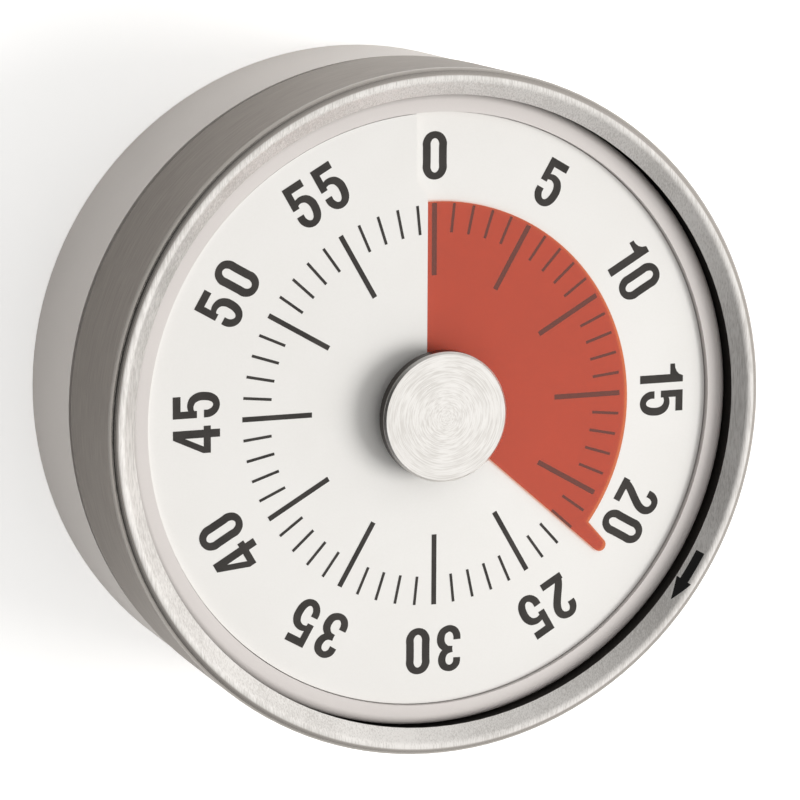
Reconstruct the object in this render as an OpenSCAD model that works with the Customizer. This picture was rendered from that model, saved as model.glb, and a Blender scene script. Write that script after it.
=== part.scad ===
// Sixty-minute kitchen timer: a round case that is set by turning its steel bezel.
// The bezel turns a hollow arbor round a fixed post. The arbor drives the clockwork and a thin
// red disc, and the disc winds up through a slit in the dial to show the time left.
// Z runs out of the dial, Y points to the 0 mark and X to the 15 mark, and the back lies on Z = 0.

/* [Case] */
// Outside diameter of the turning bezel
bezel_d = 78; // [65:0.5:94]
// Height of the rear drum, up to the gap under the bezel
drum_h = 16.4; // [13.4:0.1:20]
// Gap between the rear drum and the bezel
split_gap = 1.2; // [0.6:0.1:1.3]
// How far the drum lies inside the bezel's outside, on the radius
drum_inset = 0.1; // [0:0.1:0.8]
// Wall of the rear drum
drum_wall = 2.2; // [1.8:0.1:2.8]
// Fillet round the back edge of the drum
back_fillet = 1.8; // [0.6:0.1:2]
// Thickness of the drum's inner shelf, which carries the movement
shelf_t = 1.6; // [1.2:0.1:2]
// Thickness of the back cover
cover_t = 2; // [1.6:0.1:2.4]
// Length of each sound slot in the back cover
slot_l = 7; // [5:0.5:8]
// Width of each sound slot
slot_w = 1.4; // [1:0.1:1.8]
// Number of sound slots
slot_count = 30; // [18:3:36]

/* [Bezel] */
// Thickness of the bezel's steel sheet
sheet_t = 0.8; // [0.6:0.1:0.9]
// Width of the bezel's front face, on the radius
bezel_face_w = 3; // [2.6:0.1:3.6]
// How far the inner edge of the face lies under its outer edge
bezel_dish = 1.2; // [0.6:0.1:1.6]
// Fillet between the bezel's face and its side
bezel_fillet = 1; // [0.9:0.1:1.4]
// Wall of the plastic carrier inside the bezel
carrier_wall = 1.5; // [1.3:0.1:1.9]
// Thickness of the carrier's web
web_t = 1.4; // [1.2:0.1:2]
// Clearance between the carrier and the drum's guide lip
guide_gap = 0.3; // [0.2:0.05:0.4]
// Wall of the drum's guide lip
lip_wall = 1.7; // [1.4:0.1:2]

/* [Dial] */
// Clearance between the dial rim and the carrier that turns round it
rim_gap = 0.4; // [0.3:0.1:0.6]
// Width of the dial rim
rim_w = 2.4; // [2:0.1:2.8]
// Shoulder radius of the dial rim
rim_round = 1.1; // [0.8:0.1:1.3]
// Fit between the dial's edge and its rim
dial_fit = 0.1; // [0.05:0.05:0.15]
// Thickness of the dial plate
dial_t = 0.35; // [0.3:0.05:0.4]
// Depth of the dial under the front of the bezel
dial_sink = 3.2; // [2.8:0.1:4]
// Distance from the lip of the slit to the line through the 0 mark
slit_offset = 1.1; // [0.8:0.1:1.4]
// Distance from that line to the lip where it is cut back, outside the red disc
notch_offset = 2.45; // [2:0.05:3]
// Width of the ring of numbers outside the red disc
number_band = 10; // [9:0.5:11]

/* [Red disc] */
// Thickness of the red film
film_t = 0.15; // [0.1:0.05:0.2]
// Clearance of the film from the dial, above it and below it
film_gap = 0.2; // [0.15:0.05:0.25]
// Minutes shown when every joint is at rest
set_minutes = 22; // [2:1:58]
// Width of the pointer tab where it leaves the disc
pointer_root_w = 1.9; // [1.6:0.1:2.6]
// Width of the pointer tab at its round end
pointer_w = 1.5; // [1.2:0.1:1.6]
// Length of the pointer tab past the disc
pointer_l = 3.6; // [3:0.1:4.2]
// Angle by which the disc's leading edge stops short of the set time
lead_lag = 0.9; // [0:0.1:1.5]
// Radius of the hole in the middle of the film
film_hole_r = 5; // [4.8:0.1:5.6]

/* [Knob] */
// Diameter of the centre knob
knob_d = 14.8; // [12:0.4:18]
// Thickness of the knob's head
knob_t = 1.8; // [1.4:0.1:2.2]
// Height of the knob's face over the dial
knob_rise = 3.1; // [3:0.1:6.2]
// Chamfer round the knob's face
knob_edge = 0.25; // [0.1:0.05:0.4]
// Diameter of the collar under the knob
collar_d = 8.8; // [8:0.1:9]

/* [Movement] */
// Thickness of the two movement plates
plate_t = 1; // [0.8:0.1:1.2]
// Axial clearance between turning pieces
axial_gap = 0.5; // [0.4:0.05:0.6]
// Radial clearance of shafts in their bores
running_fit = 0.05; // [0.02:0.01:0.08]
// Diameter of the fixed centre post
post_d = 3; // [2.6:0.1:3.2]
// Wall of the hollow main arbor
arbor_wall = 1; // [0.8:0.1:1.2]
// Thickness of the main wheel
main_wheel_t = 1.2; // [1:0.1:1.6]
// Thickness of the other wheels
wheel_t = 0.8; // [0.6:0.1:1]
// Teeth of the main wheel
main_teeth = 60; // [48:4:64]
// Teeth of the second wheel
second_teeth = 56; // [48:4:60]
// Teeth of the third wheel
third_teeth = 48; // [40:4:52]
// Leaves of each pinion
leaves = 8; // [8:1:8]
// Tooth module of the main wheel
main_mod = 0.4; // [0.34:0.01:0.48]
// Tooth module of the second wheel
second_mod = 0.35; // [0.3:0.01:0.42]
// Tooth module of the third wheel
third_mod = 0.3; // [0.25:0.01:0.36]
// Tip radius of the escape wheel
escape_r = 4; // [3.4:0.1:4.8]
// Teeth of the escape wheel
escape_teeth = 15; // [12:1:18]
// Radius of the balance wheel
balance_r = 5; // [4.2:0.1:5.4]
// Diameter of the wheel arbors
arbor_d = 1.2; // [1:0.05:1.3]
// Diameter of the pivots at the arbors' ends
pivot_d = 0.7; // [0.6:0.05:0.8]
// Height of the mainspring's strip
spring_h = 4.8; // [4:0.1:5.8]
// Thickness of the mainspring's strip
spring_t = 0.25; // [0.2:0.05:0.3]
// Outer radius of the coiled mainspring
spring_r = 8.6; // [7.6:0.1:8.8]
// Turns of the mainspring
spring_turns = 6; // [4:1:7]

/* [Bell and magnet] */
// Outside diameter of the bell
bell_d = 38; // [32:0.5:42]
// Height of the bell
bell_h = 4.2; // [3.8:0.1:5]
// Thickness of the bell's sheet
bell_t = 0.6; // [0.5:0.1:0.8]
// Diameter of the magnet
magnet_d = 20; // [17:0.5:24]
// Thickness of the magnet
magnet_t = 2.5; // [2.1:0.1:3]
// Floor over the magnet's pocket
pocket_roof = 0.7; // [0.5:0.1:1]

/* [Hidden] */
$fn = 96;

// Radii of the case, from the outside in
bezel_r = bezel_d / 2;
hole_r = bezel_r - bezel_face_w;
carrier_r = bezel_r - sheet_t;
carrier_bore_r = carrier_r - carrier_wall;
lip_r = carrier_bore_r - guide_gap;
rim_r = carrier_bore_r - rim_gap;
dial_r = rim_r - rim_w - dial_fit;
film_r = dial_r - number_band;
drum_r = bezel_r - drum_inset;
drum_bore_r = drum_r - drum_wall;

// The dial and the film are both spiral sheets that climb clockwise by one pitch a turn
pitch = dial_t + film_t + 2 * film_gap;
set_angle = 6 * set_minutes;
film_drop = pitch * set_minutes / 60;
film_rise = pitch - film_drop;

// Heights, stacked from the back face up
screw_head_h = 0.8;
bell_gap = 0.4;
bell_z = magnet_t + pocket_roof + screw_head_h + bell_gap;
plate_z = bell_z + bell_h + bell_gap;
floor_z = plate_z + plate_t;
main_z = floor_z + axial_gap;
click_gap = 0.1;
close_gap = 0.3;
ratchet_z = main_z + main_wheel_t + click_gap;
cam_z = ratchet_z + wheel_t + close_gap;
second_z = cam_z + wheel_t + axial_gap;
third_z = second_z + wheel_t + axial_gap;
escape_z = third_z + wheel_t + axial_gap;
anchor_z = escape_z + wheel_t + close_gap;
roller_z = anchor_z + wheel_t + close_gap;
roller_t = 0.5;
roof_z = max(third_z + spring_h, roller_z + roller_t) + axial_gap;
nut_h = 0.9;
nut_z = roof_z + plate_t;
web_z = nut_z + nut_h + axial_gap;
clip_z = web_z + web_t;
clip_t = 0.5;
hub_z = clip_z + clip_t + film_drop + axial_gap;
hub_t = 1;
arbor_top = hub_z + hub_t + film_rise;
collar_z = arbor_top + axial_gap;
arm_t = 0.8;
arm_lift = 0.75;
arm_turn = 12;
dial_under = 7;
trail_angle = set_angle - 360 - arm_turn - dial_under - 1;
film_z = hub_z + hub_t + arm_lift + arm_t - pitch * trail_angle / 360;
dial_z = film_z - film_gap;
front_z = dial_z + pitch + dial_sink;
knob_z = dial_z + pitch + knob_rise;
collar_top = dial_z + pitch + 0.6;
bezel_z = drum_h + split_gap;
rim_z = dial_z - dial_t;

// The wheel train, each arbor placed from the one before it
function polar(r, a) = [r * cos(a), r * sin(a)];
function center_gap(teeth, mod) = (teeth + leaves) * mod / 2;
function wheel_reach(teeth, mod) = (teeth / 2 + 1) * mod;
second_dir = 150;
third_dir = 244;
escape_dir = 288;
anchor_dir = 316;
balance_dir = 347;
second_pos = polar(center_gap(main_teeth, main_mod), second_dir);
third_pos = second_pos + polar(center_gap(second_teeth, second_mod), third_dir);
escape_pos = third_pos + polar(center_gap(third_teeth, third_mod), escape_dir);
pin_r = 0.3;
pallet_r = escape_r + 0.75;
pallet_turn = 40;
anchor_pos = escape_pos + polar(escape_r + 2.4, anchor_dir);
fork_l = 5.2;
crank_l = 1.3;
balance_pos = anchor_pos + polar(fork_l + crank_l, balance_dir);
hammer_dir = 330;
bell_r = bell_d / 2;
bell_bore_r = bell_r - bell_t;
hammer_pos = polar((wheel_reach(main_teeth, main_mod) + bell_bore_r) / 2, hammer_dir);
train = [second_pos, third_pos, escape_pos, anchor_pos, balance_pos, hammer_pos];

// The plates cover the widest wheel, and their screws stand outside the bell
plate_edge = 1.5;
plate_screw_inset = 1.8;
plate_screw_head_r = 1.7;
plate_r = max(
    norm(second_pos) + wheel_reach(second_teeth, second_mod) + plate_edge,
    norm(third_pos) + wheel_reach(third_teeth, third_mod) + plate_edge,
    norm(balance_pos) + balance_r + plate_edge,
    bell_r + bell_gap + plate_screw_head_r + plate_screw_inset
);
pillar_r = 1.2;
pillar_ring_r = plate_r - 2 * pillar_r;
pillar_turns = [70, 171, 237, 5];
shelf_land = 3.4;
shelf_r = plate_r - shelf_land;
screw_r = 0.9;
plate_screw_ring_r = plate_r - plate_screw_inset;
plate_screw_turns = [30, 120, 300];
cover_screw_turns = [90, 210, 330];
cover_screw_head_r = 1.9;
cover_screw_l = 4;
screw_sink = 0.2;
boss_r = 3;
boss_ring_r = (plate_r + drum_bore_r) / 2;
cover_fit = 0.1;

post_r = post_d / 2;
arbor_bore_r = post_r + running_fit;
main_arbor_r = arbor_bore_r + arbor_wall;
arbor_r = arbor_d / 2;
pivot_r = pivot_d / 2;
eye_r = 1.2;
bell_post_r = 2.4;
magnet_r = magnet_d / 2;
cam_r = 6;
ratchet_r = 4.8;
drive_pin_r = 0.6;
hub_r = 7.6;
drive_pin_ring_r = 5.6;
drive_pin_turn = 130;
hammer_head_r = 1.3;
hammer_gap = 0.8;
hammer_head = polar(bell_bore_r - hammer_head_r - hammer_gap, -60);
hammer_z = bell_z + bell_t + 1;

// Points round part of a circle
function arc(c, r, a0, a1, steps = 10) =
    [for (i = [0:steps]) c + polar(r, a0 + (a1 - a0) * i / steps)];
function turned(p, a) = [p.x * cos(a) - p.y * sin(a), p.x * sin(a) + p.y * cos(a)];
function flipped(points) = [for (p = points) [p.x, -p.y]];
function reversed(points) = [for (i = [len(points) - 1:-1:0]) points[i]];
// A direction on the dial, from minutes after the 0 mark, as an angle from X
function dial_turn(minutes) = 90 - 6 * minutes;

// One side of a wheel tooth: a straight root, then the curve that a circle half the pinion's
// size traces as it rolls on the pitch circle
tooth_addendum = 1;
tooth_dedendum = 1.1;
function rolled(r, g, t) =
    [(r + g) * cos(t) - g * cos((r + g) / g * t), (r + g) * sin(t) - g * sin((r + g) / g * t)];
function tip_roll(r, g, tip) =
    acos((pow(r + g, 2) + g * g - tip * tip) / (2 * g * (r + g))) * g / r;
function tooth_side(teeth, mod) =
    let (r = teeth * mod / 2, g = leaves * mod / 4, half = 90 / teeth)
    let (roll = tip_roll(r, g, r + tooth_addendum * mod))
    concat(
        [polar(r - tooth_dedendum * mod, -half)],
        [for (k = [0:2]) turned(rolled(r, g, roll * k / 2), -half)]
    );
function wheel_points(teeth, mod) =
    let (side = tooth_side(teeth, mod), tooth = concat(side, reversed(flipped(side))))
    [for (i = [0:teeth - 1]) for (p = tooth) turned(p, 360 / teeth * i)];

// A pinion leaf has radial sides and a round tip
leaf_w = 1.05;
leaf_root = 1.35;
function pinion_points(mod) =
    let (r = leaves * mod / 2, w = leaf_w * mod / 2, half = asin(w / r))
    let (leaf = concat(
        [polar(r - leaf_root * mod, -half)],
        arc([r * cos(half), 0], w, -90, 90, 4),
        [polar(r - leaf_root * mod, half)]
    ))
    [for (i = [0:leaves - 1]) for (p = leaf) turned(p, 360 / leaves * i)];

module ring(r, bore, h) {
    difference() {
        cylinder(r = r, h = h);
        translate([0, 0, -1]) cylinder(r = bore, h = h + 2);
    }
}

// A flat bar of one width between two points
module bar(p, q, w) {
    dir = atan2(q.y - p.y, q.x - p.x);
    translate(p) rotate(dir) translate([0, -w / 2]) square([norm(q - p), w]);
}

// A slot with round ends, along X
module slot(l, w) {
    square([l - w, w], center = true);
    for (side = [-1, 1]) translate([side * (l - w) / 2, 0]) circle(d = w);
}

// A spiral sheet. Each ring is [angle clockwise from Y, inner radius, outer radius].
module spiral_sheet(rings, z, thickness) {
    points = [
        for (s = rings)
        for (corner = [[1, 0], [2, 0], [2, thickness], [1, thickness]])
        [s[corner[0]] * sin(s[0]), s[corner[0]] * cos(s[0]), z + pitch * s[0] / 360 + corner[1]]
    ];
    last = 4 * (len(rings) - 1);
    sides = [
        for (i = [0:4:last - 4])
        for (j = [0:3])
        let (k = (j + 1) % 4)
        each [[i + k, i + j, i + 4 + j], [i + k, i + 4 + j, i + 4 + k]]
    ];
    caps = [[0, 1, 2, 3], [last + 3, last + 2, last + 1, last]];
    polyhedron(points, concat(sides, caps), convexity = 8);
}

// A wheel with round holes that lighten it
module wheel(teeth, mod, bore, t, holes) {
    r = teeth * mod / 2;
    difference() {
        linear_extrude(t) polygon(wheel_points(teeth, mod));
        translate([0, 0, -1]) cylinder(r = bore, h = t + 2);
        for (i = [1:holes])
            rotate(360 / holes * i) translate([r * 0.58, 0, -1]) cylinder(r = r * 0.22, h = t + 2);
    }
}

// An arbor with a pivot at each end that runs in the two plates
module arbor() {
    translate([0, 0, plate_z]) cylinder(r = pivot_r, h = roof_z + plate_t - plate_z);
    shoulder = axial_gap / 2;
    translate([0, 0, floor_z + shoulder]) cylinder(r = arbor_r, h = roof_z - floor_z - 2 * shoulder);
}

// Leaves that reach past the wheel they mesh with by the same amount on each side
module pinion(mod, z, t) {
    over = 0.2;
    translate([0, 0, z - over]) linear_extrude(t + 2 * over) polygon(pinion_points(mod));
}

module screw(head_r, head_h, shank_r, shank_l) {
    difference() {
        union() {
            cylinder(r = head_r, h = head_h);
            cylinder(r = shank_r, h = head_h + shank_l);
        }
        for (a = [0, 90]) rotate(a) translate([0, 0, -0.01])
            cube([head_r * 1.3, head_r * 0.26, head_h * 1.2], center = true);
    }
}

module pivot_holes() {
    for (p = train) translate([p.x, p.y, -1]) cylinder(r = pivot_r + running_fit, h = plate_t + 2);
}

module at_turns(turns, r) {
    for (a = turns) translate(concat(polar(r, a), 0)) rotate(a) children();
}

// Case

module rear_drum() {
    color([0.70, 0.68, 0.66]) {
        shelf_z = plate_z - shelf_t;
        lip_top = web_z - axial_gap;
        lip_bore_r = lip_r - lip_wall;
        difference() {
            rotate_extrude($fn = 180) polygon(concat(
                [[drum_bore_r, 0]],
                arc([drum_r - back_fillet, back_fillet], back_fillet, -90, 0),
                [
                    [drum_r, drum_h], [lip_r, drum_h], [lip_r, lip_top], [lip_bore_r, lip_top],
                    [lip_bore_r, plate_z], [shelf_r, plate_z], [shelf_r, shelf_z],
                    [drum_bore_r, shelf_z]
                ]
            ));
            translate([0, 0, shelf_z - 1]) at_turns(plate_screw_turns, plate_screw_ring_r)
                cylinder(r = screw_r, h = shelf_t + 2);
        }
        translate([0, 0, cover_t]) at_turns(cover_screw_turns, boss_ring_r)
            ring(boss_r, screw_r, shelf_z - cover_t + 0.01);
    }
}

module back_cover() {
    pocket_wall = 1.4;
    slot_start = 4;
    color([0.16, 0.16, 0.17])
    difference() {
        union() {
            cylinder(r = drum_bore_r - cover_fit, h = cover_t);
            cylinder(r = magnet_r + pocket_wall, h = magnet_t + pocket_roof);
        }
        translate([0, 0, -1]) cylinder(r = magnet_r, h = magnet_t + 1);
        translate([0, 0, -1]) at_turns(cover_screw_turns, boss_ring_r) {
            cylinder(r = screw_r, h = cover_t + 2);
            cylinder(r = cover_screw_head_r + cover_fit, h = screw_head_h + screw_sink + 1);
        }
        translate([0, 0, -1]) linear_extrude(cover_t + 2)
            at_turns([for (i = [0:slot_count - 1]) 360 / slot_count * (i + 0.5)],
                magnet_r + slot_start + slot_l / 2)
                slot(slot_l, slot_w);
    }
}

module magnet() {
    chamfer = 0.4;
    color([0.55, 0.56, 0.58])
    rotate_extrude() polygon([
        [0, 0], [magnet_r - chamfer, 0], [magnet_r, chamfer], [magnet_r, magnet_t], [0, magnet_t]
    ]);
}

module cover_screws() {
    color([0.62, 0.62, 0.64])
    translate([0, 0, screw_sink]) at_turns(cover_screw_turns, boss_ring_r)
        screw(cover_screw_head_r, screw_head_h, screw_r, cover_screw_l);
}

module movement_screws() {
    color([0.62, 0.62, 0.64])
    translate([0, 0, plate_z - shelf_t - screw_head_h])
        at_turns(plate_screw_turns, plate_screw_ring_r)
        screw(plate_screw_head_r, screw_head_h, screw_r, shelf_t + plate_t);
}

// Fixed part of the movement

module lower_plate() {
    color([0.80, 0.66, 0.36])
    translate([0, 0, plate_z]) difference() {
        cylinder(r = plate_r, h = plate_t);
        translate([0, 0, -1]) {
            cylinder(r = post_r, h = plate_t + 2);
            at_turns(plate_screw_turns, plate_screw_ring_r) cylinder(r = screw_r, h = plate_t + 2);
            at_turns(pillar_turns, pillar_ring_r) cylinder(r = pillar_r / 2, h = plate_t + 2);
        }
        pivot_holes();
    }
}

module upper_plate() {
    color([0.80, 0.66, 0.36])
    translate([0, 0, roof_z]) difference() {
        cylinder(r = plate_r, h = plate_t);
        translate([0, 0, -1]) {
            cylinder(r = main_arbor_r + running_fit, h = plate_t + 2);
            at_turns(pillar_turns, pillar_ring_r) cylinder(r = pillar_r / 2, h = plate_t + 2);
            at_turns([60], plate_r * 0.55) cylinder(r = plate_r * 0.2, h = plate_t + 2);
        }
        pivot_holes();
    }
}

module plate_pillars() {
    color([0.78, 0.72, 0.52])
    at_turns(pillar_turns, pillar_ring_r) {
        translate([0, 0, plate_z]) cylinder(r = pillar_r / 2, h = nut_z + nut_h - plate_z);
        translate([0, 0, floor_z]) cylinder(r = pillar_r, h = roof_z - floor_z);
    }
}

module plate_nuts() {
    color([0.62, 0.62, 0.64])
    translate([0, 0, nut_z]) at_turns(pillar_turns, pillar_ring_r)
        difference() {
            cylinder(r = pillar_r * 1.1, h = nut_h, $fn = 6);
            translate([0, 0, -1]) cylinder(r = pillar_r / 2, h = nut_h + 2);
        }
}

module center_post() {
    color([0.62, 0.62, 0.64]) {
        post_top = knob_z - knob_t / 2;
        translate([0, 0, bell_z + bell_t]) cylinder(r = bell_post_r, h = plate_z - bell_z - bell_t);
        translate([0, 0, plate_z]) cylinder(r = post_r, h = post_top - plate_z);
    }
}

module bell() {
    color([0.74, 0.74, 0.76])
    rotate_extrude() {
        corner = 1.2;
        polygon(concat(
            [[screw_r, bell_z]],
            arc([bell_r - corner, bell_z + corner], corner, -90, 0, 6),
            [[bell_r, bell_z + bell_h], [bell_bore_r, bell_z + bell_h]],
            arc([bell_r - corner, bell_z + corner], corner - bell_t, 0, -90, 6),
            [[screw_r, bell_z + bell_t]]
        ));
    }
}

module bell_screw() {
    color([0.62, 0.62, 0.64])
    translate([0, 0, bell_z - screw_head_h]) screw(bell_post_r, screw_head_h, screw_r, bell_t);
}

// The strip lies clear of the arbor, and its outer end hooks on the stud
spring_inner_r = main_arbor_r + 0.5;
spring_hook_r = spring_r + 1.6;
module mainspring() {
    steps = 24 * spring_turns;
    function coil_r(i) = spring_inner_r + (spring_r - spring_inner_r) * i / steps;
    inner = [for (i = [0:steps]) polar(coil_r(i), 15 * i)];
    outer = [for (i = [steps:-1:0]) polar(coil_r(i) + spring_t, 15 * i)];
    hook = [[spring_r, spring_t], [spring_hook_r, spring_t], [spring_hook_r, 0]];
    color([0.36, 0.40, 0.48])
    translate([0, 0, third_z]) linear_extrude(spring_h) polygon(concat(inner, hook, outer));
}

module spring_stud() {
    color([0.62, 0.62, 0.64])
    translate([spring_hook_r + 0.5, 0, third_z]) cylinder(r = 0.5, h = roof_z - third_z);
}

// Dial

module dial_collar() {
    color([0.86, 0.85, 0.82])
    translate([0, 0, collar_z]) ring(collar_d / 2, post_r, collar_top - collar_z);
}

module dial_plate() {
    color([0.94, 0.93, 0.90])
    difference() {
        spiral_sheet([for (a = [-dial_under:1:360]) [a, collar_d / 2, dial_r]], rim_z, dial_t);
        // The lip of the slit, cut further back outside the red disc
        translate([0, 0, dial_z + pitch * 0.3]) linear_extrude(pitch * 2) polygon([
            [-slit_offset, 0], [-slit_offset, film_r + 0.8], [-notch_offset, film_r + 2.4],
            [-notch_offset, dial_r + 1], [5, dial_r + 1], [5, 0]
        ]);
    }
}

module dial_rim() {
    color([0.88, 0.87, 0.84])
    rotate_extrude($fn = 180) {
        wall_r = dial_r + dial_fit;
        ledge_r = dial_r - 0.8;
        crest_z = dial_z + pitch + 0.1;
        ledge_z = rim_z - pitch * dial_under / 360;
        foot_z = rim_z - 1.2;
        polygon(concat(
            [[ledge_r, foot_z], [rim_r, foot_z]],
            arc([rim_r - rim_round, crest_z - rim_round], rim_round, 0, 90, 12),
            [[wall_r, crest_z], [wall_r, ledge_z], [ledge_r, ledge_z]]
        ));
    }
}

module knob() {
    color([0.86, 0.85, 0.83])
    difference() {
        rotate_extrude($fn = 180) {
            polygon([
                [0, collar_top], [collar_d / 2, collar_top], [collar_d / 2, knob_z - knob_t],
                [knob_d / 2 - knob_edge, knob_z - knob_t], [knob_d / 2, knob_z - knob_t + knob_edge],
                [knob_d / 2, knob_z - knob_edge], [knob_d / 2 - knob_edge, knob_z], [0, knob_z]
            ]);
        }
        cylinder(r = post_r, h = knob_z - knob_t / 2);
    }
}

// Bezel and what turns with it

// The face rises from its inner edge to meet the fillet, and the sheet keeps one thickness
module bezel_ring() {
    color([0.72, 0.71, 0.69])
    rotate_extrude($fn = 180) {
        flat = [bezel_fillet - bezel_dish, bezel_face_w - bezel_fillet];
        slope = atan2(flat.y, flat.x) - acos(bezel_fillet / norm(flat));
        bend = [bezel_r - bezel_fillet, front_z - bezel_fillet];
        face = polar(sheet_t, 90 + slope);
        edge = [hole_r, front_z - bezel_dish];
        polygon(concat(
            [[bezel_r - sheet_t, bezel_z], [bezel_r, bezel_z]],
            arc(bend, bezel_fillet, 0, 90 + slope, 12),
            [edge, edge - face],
            arc(bend, bezel_fillet - sheet_t, 90 + slope, 0, 6)
        ));
    }
}

module bezel_carrier() {
    color([0.20, 0.20, 0.21])
    difference() {
        rotate_extrude($fn = 180) {
            wall_top = front_z - bezel_dish - sheet_t - 0.4;
            polygon([
                [main_arbor_r, web_z], [carrier_bore_r, web_z], [carrier_bore_r, bezel_z],
                [carrier_r, bezel_z], [carrier_r, wall_top], [carrier_bore_r, wall_top],
                [carrier_bore_r, clip_z], [main_arbor_r, clip_z]
            ]);
        }
        translate([0, 0, web_z - 1]) at_turns([drive_pin_turn], drive_pin_ring_r)
            cylinder(r = drive_pin_r, h = web_t + 2);
    }
}

module main_arbor() {
    color([0.62, 0.62, 0.64])
    translate([0, 0, main_z - axial_gap / 2])
        ring(main_arbor_r, arbor_bore_r, arbor_top - main_z + axial_gap / 2);
}

module main_wheel() {
    color([0.80, 0.66, 0.36])
    translate([0, 0, main_z]) rotate(second_dir)
        wheel(main_teeth, main_mod, main_arbor_r, main_wheel_t, 6);
}

module ratchet_wheel() {
    teeth = 12;
    root_r = ratchet_r - 0.9;
    color([0.62, 0.62, 0.64])
    translate([0, 0, ratchet_z]) difference() {
        linear_extrude(wheel_t) polygon([
            for (i = [0:teeth - 1])
            let (a = 360 / teeth * i)
            each [polar(root_r, a), polar(ratchet_r, a + 2)]
        ]);
        translate([0, 0, -1]) cylinder(r = main_arbor_r, h = wheel_t + 2);
    }
}

module click_pawl() {
    pin = polar(ratchet_r + 2.2, 75);
    color([0.62, 0.62, 0.64]) {
        translate([0, 0, ratchet_z]) linear_extrude(wheel_t) {
            translate(pin) circle(r = 1);
            bar(pin, polar(ratchet_r - 0.1, 40), 0.7);
        }
        translate(concat(pin, ratchet_z - 0.1)) cylinder(r = 0.45, h = wheel_t + 0.2);
    }
}

module strike_cam() {
    color([0.80, 0.66, 0.36])
    translate([0, 0, cam_z]) difference() {
        cylinder(r = cam_r, h = wheel_t);
        translate([0, 0, -1]) cylinder(r = main_arbor_r, h = wheel_t + 2);
        rotate(dial_turn(0)) translate([cam_r, 0, -1]) cylinder(r = 1.1, h = wheel_t + 2);
    }
}

module arbor_clip() {
    color([0.45, 0.45, 0.47])
    translate([0, 0, clip_z]) difference() {
        ring(main_arbor_r + 1.2, main_arbor_r, clip_t);
        rotate(-90) translate([0, -0.8, -1]) cube([main_arbor_r + 2, 1.6, clip_t + 2]);
    }
}

module drive_pin() {
    color([0.62, 0.62, 0.64])
    translate([0, 0, web_z]) at_turns([drive_pin_turn], drive_pin_ring_r)
        cylinder(r = drive_pin_r, h = hub_z + hub_t - web_z);
}

// Red disc

// The leading edge is straight, and the tab stands on it with a round end
lead_angle = set_angle - lead_lag;
pointer_c = film_r + pointer_l - pointer_w / 2;
tab_facets = 16;
module time_disc() {
    tab_start = lead_angle - atan(pointer_root_w / film_r);
    plain = [for (i = [0:188]) [trail_angle + (tab_start - trail_angle) * i / 188, film_hole_r, film_r]];
    tab = [for (i = [0:tab_facets]) let (
        across = pointer_w / 2 * (1 + cos(180 * i / tab_facets)),
        along = pointer_c + pointer_w / 2 * sin(180 * i / tab_facets)
    ) [lead_angle - atan(across / along), film_hole_r, norm([across, along])]];
    color([0.78, 0.22, 0.16])
    spiral_sheet(concat(plain, tab), film_z, film_t);
}

module disc_arm() {
    reach = film_r - 1.5;
    color([0.30, 0.30, 0.31])
    spiral_sheet(
        [for (a = [trail_angle:2:trail_angle + arm_turn]) [a, film_hole_r + 0.4, reach]],
        film_z - arm_t, arm_t
    );
}

module disc_hub() {
    color([0.30, 0.30, 0.31])
    translate([0, 0, hub_z]) {
        difference() {
            cylinder(r = hub_r, h = hub_t);
            translate([0, 0, -1]) cylinder(r = main_arbor_r + running_fit, h = hub_t + 2);
            translate([0, 0, -1]) at_turns([drive_pin_turn], drive_pin_ring_r)
                cylinder(r = drive_pin_r + running_fit, h = hub_t + 2);
        }
        rotate(90 - trail_angle - arm_turn / 2) translate([film_hole_r + 0.5, -0.8, hub_t - 0.2])
            cube([hub_r - film_hole_r - 0.8, 1.6, arm_lift + 0.2]);
    }
}

// Wheel train

module second_arbor() {
    color([0.62, 0.62, 0.64])
    translate(second_pos) {
        arbor();
        rotate(second_dir + 180 + 180 / leaves) pinion(main_mod, main_z, main_wheel_t);
    }
}

module second_wheel() {
    color([0.80, 0.66, 0.36])
    translate(concat(second_pos, second_z)) rotate(third_dir)
        wheel(second_teeth, second_mod, arbor_r, wheel_t, 5);
}

module third_arbor() {
    color([0.62, 0.62, 0.64])
    translate(third_pos) {
        arbor();
        rotate(third_dir + 180 + 180 / leaves) pinion(second_mod, second_z, wheel_t);
    }
}

module third_wheel() {
    color([0.80, 0.66, 0.36])
    translate(concat(third_pos, third_z)) rotate(escape_dir)
        wheel(third_teeth, third_mod, arbor_r, wheel_t, 5);
}

module escape_arbor() {
    color([0.62, 0.62, 0.64])
    translate(escape_pos) {
        arbor();
        rotate(escape_dir + 180 + 180 / leaves) pinion(third_mod, third_z, wheel_t);
    }
}

module escape_wheel() {
    step = 360 / escape_teeth;
    root_r = escape_r * 0.72;
    color([0.80, 0.66, 0.36])
    translate(concat(escape_pos, escape_z)) difference() {
        linear_extrude(wheel_t) polygon([
            for (i = [0:escape_teeth - 1])
            let (a = step * i)
            each [polar(root_r, a - 2), polar(escape_r, a), polar(escape_r, a + 2.5),
                polar(root_r, a + step * 0.5)]
        ]);
        translate([0, 0, -1]) cylinder(r = arbor_r, h = wheel_t + 2);
    }
}

module anchor_arbor() {
    color([0.62, 0.62, 0.64])
    translate(anchor_pos) arbor();
}

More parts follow.
